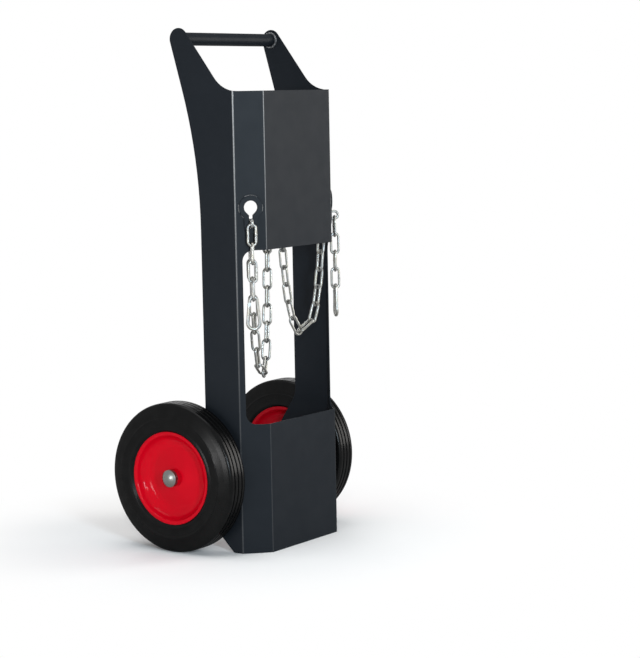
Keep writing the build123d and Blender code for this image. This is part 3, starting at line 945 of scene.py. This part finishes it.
def link_place(triangles):
    """Middle and Euler turn of one link, from its surface's moments: length along X and width along Y."""
    corners = np.array(triangles, float)
    first, second, third = (corners[:, index] for index in range(3))
    areas = np.linalg.norm(np.cross(second - first, third - first), axis=1) / 2
    middle = (areas[:, None] * corners.mean(axis=1)).sum(axis=0) / areas.sum()
    local = corners - middle
    total = local.sum(axis=1)
    moment = np.einsum("t,tki,tkj->ij", areas, local, local)
    moment += np.einsum("t,ti,tj->ij", areas, total, total)
    _, axes = np.linalg.eigh(moment)
    along, across = Vector(axes[:, 2]), Vector(axes[:, 1])
    if along.z < 0:
        along.negate()
    turn = Matrix((along, across, along.cross(across))).transposed().to_euler()
    return tuple(middle), tuple(turn)


def link_places(node):
    """Middle and turn of each link of a solid, found as the islands of its joined triangles."""
    bm = bmesh.new()
    bm.from_mesh(frame["nodes"][node].data)
    bmesh.ops.remove_doubles(bm, verts=bm.verts, dist=MERGE_DISTANCE)
    bmesh.ops.triangulate(bm, faces=bm.faces)
    waiting = set(bm.faces)
    places = []
    while waiting:
        island = [waiting.pop()]
        for face in island:
            for edge in face.edges:
                for other in edge.link_faces:
                    if other in waiting:
                        waiting.remove(other)
                        island.append(other)
        places.append(link_place([[v.co for v in face.verts] for face in island]))
    bm.free()
    return sorted(places)


def chain_tree():
    """Chain: a link of bent round wire with its butt weld, set on each point with that point's turn."""
    found = bpy.data.node_groups.get("Chain links")
    if found:
        return found
    tree, entry, result = new_tree(
        "Chain links", "GeometryNodeTree",
        {"Geometry": "Geometry", "Wire radius": "Float", "Length": "Float", "Width": "Float",
         "Weld radius": "Float", "Material": "Material"},
        {"Geometry": "Geometry"},
    )
    new = tree.nodes.new
    outline = new("GeometryNodeCurvePrimitiveQuadrilateral")
    bend = new("GeometryNodeFilletCurve")
    bend.mode = "POLY"
    bend.inputs["Count"].default_value = LINK_BEND_STEPS
    half = maths(tree, "MULTIPLY", entry.outputs["Width"], LINK_BEND_SHARE)
    section = new("GeometryNodeCurvePrimitiveCircle")
    section.inputs["Resolution"].default_value = WIRE_SIDES
    wire = new("GeometryNodeCurveToMesh")
    weld = new("GeometryNodeMeshUVSphere")
    weld.inputs["Segments"].default_value = LINK_WELD_SEGMENTS
    weld.inputs["Rings"].default_value = LINK_WELD_RINGS
    lift = new("ShaderNodeCombineXYZ")
    move = new("GeometryNodeTransform")
    move.inputs["Scale"].default_value = LINK_WELD_STRETCH
    join = new("GeometryNodeJoinGeometry")
    turn = new("GeometryNodeInputNamedAttribute")
    turn.data_type = "FLOAT_VECTOR"
    turn.inputs["Name"].default_value = "turn"
    rotation = new("FunctionNodeEulerToRotation")
    place = new("GeometryNodeInstanceOnPoints")
    link_sockets(
        tree,
        (entry.outputs["Length"], outline.inputs["Width"]),
        (entry.outputs["Width"], outline.inputs["Height"]),
        (outline.outputs["Curve"], bend.inputs["Curve"]),
        (half, bend.inputs["Radius"]),
        (entry.outputs["Wire radius"], section.inputs["Radius"]),
        (bend.outputs["Curve"], wire.inputs["Curve"]),
        (section.outputs["Curve"], wire.inputs["Profile Curve"]),
        (entry.outputs["Weld radius"], weld.inputs["Radius"]),
        (half, lift.inputs["Y"]),
        (weld.outputs["Mesh"], move.inputs["Geometry"]),
        (lift.outputs["Vector"], move.inputs["Translation"]),
        (wire.outputs["Mesh"], join.inputs["Geometry"]),
        (move.outputs["Geometry"], join.inputs["Geometry"]),
        (entry.outputs["Geometry"], place.inputs["Points"]),
        (join.outputs["Geometry"], place.inputs["Instance"]),
        (turn.outputs["Attribute"], rotation.inputs["Euler"]),
        (rotation.outputs["Rotation"], place.inputs["Rotation"]),
    )
    put_out(tree, entry, place, result)
    return tree


class HANDTRUCK_OT_chains(bpy.types.Operator):
    """Set a welded wire link in the place of each link of the chains"""

    bl_idname = "handtruck.chains"
    bl_label = "Chains"

    def execute(self, context):
        sizes = context.scene.handtruck_sizes
        values = {
            "Wire radius": sizes.wire_radius,
            "Length": sizes.link_length,
            "Width": sizes.link_width,
            "Weld radius": sizes.link_weld,
            "Material": zinc(),
        }
        for node in sorted(frame["nodes"]):
            if not node.startswith(CHAIN_NODES):
                continue
            places = link_places(node)
            mesh = bpy.data.meshes.new(node)
            mesh.from_pydata([middle for middle, _ in places], [], [])
            turns = mesh.attributes.new("turn", "FLOAT_VECTOR", "POINT")
            turns.data.foreach_set("vector", [value for _, turn in places for value in turn])
            links = grown(f"zinc_{node}", mesh, chain_tree(), values)
            dress(links, body_of_node(node), "zinc_steel", node)
        return {"FINISHED"}


class HANDTRUCK_OT_hooks(bpy.types.Operator):
    """Plate the snap hooks, their gates, pins and springs"""

    bl_idname = "handtruck.hooks"
    bl_label = "Snap hooks"

    def execute(self, context):
        for side in SIDES:
            for piece in HOOK_NODES:
                paint_node(f"{piece}_{side}", zinc())
        return {"FINISHED"}


def studio_lamp(name, place, aim, size, power, colour):
    """Soft rectangular lamp aimed at a point."""
    lamp = bpy.data.lights.new(name, "AREA")
    lamp.shape = "RECTANGLE"
    lamp.size, lamp.size_y = size
    lamp.energy = power
    lamp.color = colour
    holder = bpy.data.objects.new(name, lamp)
    bpy.context.scene.collection.objects.link(holder)
    holder.location = place
    holder.rotation_euler = (Vector(aim) - Vector(place)).to_track_quat("-Z", "Y").to_euler()


def background_rays(tree):
    """1 for the rays that show the background: straight from the camera, mirrored or through glass."""
    path = tree.nodes.new("ShaderNodeLightPath")
    seen = maths(tree, "MAXIMUM", path.outputs["Is Camera Ray"], path.outputs["Is Glossy Ray"])
    return maths(tree, "MAXIMUM", seen, path.outputs["Is Transmission Ray"])


def floor_material():
    """Pale floor that keeps the shadow near the truck and turns to plain white further out."""
    material = bpy.data.materials.new("Studio floor")
    material.use_nodes = True
    tree = material.node_tree
    tree.nodes.remove(tree.nodes["Principled BSDF"])
    result = tree.nodes["Material Output"]
    matt = tree.nodes.new("ShaderNodeBsdfDiffuse")
    matt.inputs["Color"].default_value = FLOOR_GREY
    white = tree.nodes.new("ShaderNodeEmission")
    white.inputs["Color"].default_value = WHITE
    place = tree.nodes.new("ShaderNodeTexCoord")
    reach = tree.nodes.new("ShaderNodeVectorMath")
    reach.operation = "LENGTH"
    fade = spread(tree, reach.outputs["Value"], FLOOR_FADE, interpolation="SMOOTHSTEP")
    mix = tree.nodes.new("ShaderNodeMixShader")
    link_sockets(
        tree,
        (place.outputs["Object"], reach.inputs[0]),
        (maths(tree, "MULTIPLY", fade, background_rays(tree)), mix.inputs[0]),
        (matt.outputs[0], mix.inputs[1]),
        (white.outputs[0], mix.inputs[2]),
        (mix.outputs[0], result.inputs["Surface"]),
    )
    return material


def studio_sky(strength):
    """Even light from all round, stronger from above, that shows as plain white behind the truck."""
    world = bpy.data.worlds.new("Studio sky")
    bpy.context.scene.world = world
    world.use_nodes = True
    tree = world.node_tree
    tree.nodes.clear()
    result = tree.nodes.new("ShaderNodeOutputWorld")
    light = tree.nodes.new("ShaderNodeBackground")
    direction = tree.nodes.new("ShaderNodeTexCoord")
    split = tree.nodes.new("ShaderNodeSeparateXYZ")
    strengths = (strength * SKY_LOW, strength * SKY_HIGH)
    white = tree.nodes.new("ShaderNodeBackground")
    white.inputs["Color"].default_value = WHITE
    mix = tree.nodes.new("ShaderNodeMixShader")
    link_sockets(
        tree,
        (direction.outputs["Generated"], split.inputs[0]),
        (spread(tree, split.outputs["Z"], (0.0, SKY_FULL_HEIGHT), strengths), light.inputs["Strength"]),
        (background_rays(tree), mix.inputs[0]),
        (light.outputs[0], mix.inputs[1]),
        (white.outputs[0], mix.inputs[2]),
        (mix.outputs[0], result.inputs["Surface"]),
    )


def studio_camera(stage):
    """Camera at the picture's place, with its roll."""
    camera = bpy.data.cameras.new("Studio camera")
    camera.sensor_fit = "VERTICAL"
    camera.sensor_height = SENSOR
    camera.lens = stage.focal_pixels * SENSOR / IMAGE_HEIGHT
    camera.clip_end = CLIP_END
    holder = bpy.data.objects.new("Studio camera", camera)
    bpy.context.scene.collection.objects.link(holder)
    level = cos(stage.elevation)
    away = Vector((-cos(stage.azimuth) * level, -sin(stage.azimuth) * level, sin(stage.elevation)))
    look = (-away).to_track_quat("-Z", "Y").to_matrix()
    turn = look @ Matrix.Rotation(stage.roll, 3, "Z")
    place = Vector(stage.target) + away * stage.distance
    holder.matrix_world = Matrix.Translation(place) @ turn.to_4x4()
    bpy.context.scene.camera = holder


class HANDTRUCK_OT_stage(bpy.types.Operator):
    """Set the floor, the lamps, the sky and the camera"""

    bl_idname = "handtruck.stage"
    bl_label = "Studio"

    def execute(self, context):
        stage = context.scene.handtruck_stage
        reach = FLOOR_REACH
        corners = [(-reach, -reach, 0), (reach, -reach, 0), (reach, reach, 0), (-reach, reach, 0)]
        mesh = bpy.data.meshes.new("studio_floor")
        mesh.from_pydata(corners, [], [(0, 1, 2, 3)])
        mesh.materials.append(floor_material())
        new_mesh_object("studio_floor", mesh)
        for lamp in LAMPS:
            studio_lamp(*lamp)
        studio_sky(stage.sky)
        studio_camera(stage)
        context.scene.view_settings.view_transform = "Standard"
        return {"FINISHED"}


STEPS = (
    HANDTRUCK_OT_body,
    HANDTRUCK_OT_welds,
    HANDTRUCK_OT_wheels,
    HANDTRUCK_OT_chains,
    HANDTRUCK_OT_hooks,
    HANDTRUCK_OT_stage,
)
SETTINGS = {
    "handtruck_finish": HANDTRUCK_PG_finish,
    "handtruck_sizes": HANDTRUCK_PG_sizes,
    "handtruck_stage": HANDTRUCK_PG_stage,
}


class HANDTRUCK_PT_panel(bpy.types.Panel):
    """Sidebar panel with the truck's steps and settings."""

    bl_idname = "HANDTRUCK_PT_panel"
    bl_label = "Hand truck"
    bl_space_type = "VIEW_3D"
    bl_region_type = "UI"
    bl_category = "Hand truck"

    def draw(self, context):
        for step in STEPS:
            self.layout.operator(step.bl_idname)
        for name, group in SETTINGS.items():
            box = self.layout.box()
            for entry in group.__annotations__:
                box.prop(getattr(context.scene, name), entry)


CLASSES = (*SETTINGS.values(), *STEPS, HANDTRUCK_PT_panel)


def register():
    """Register the classes and hang the settings on the scene."""
    for kind in CLASSES:
        bpy.utils.register_class(kind)
    for name, group in SETTINGS.items():
        setattr(bpy.types.Scene, name, PointerProperty(type=group))


def unregister():
    """Take the settings off the scene and the classes out again."""
    for name in SETTINGS:
        delattr(bpy.types.Scene, name)
    for kind in reversed(CLASSES):
        bpy.utils.unregister_class(kind)


def main():
    """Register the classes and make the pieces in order."""
    register()
    bpy.ops.handtruck.body()
    bpy.ops.handtruck.welds()
    bpy.ops.handtruck.wheels()
    bpy.ops.handtruck.chains()
    bpy.ops.handtruck.hooks()
    bpy.ops.handtruck.stage()


if __name__ == "__main__":
    main()
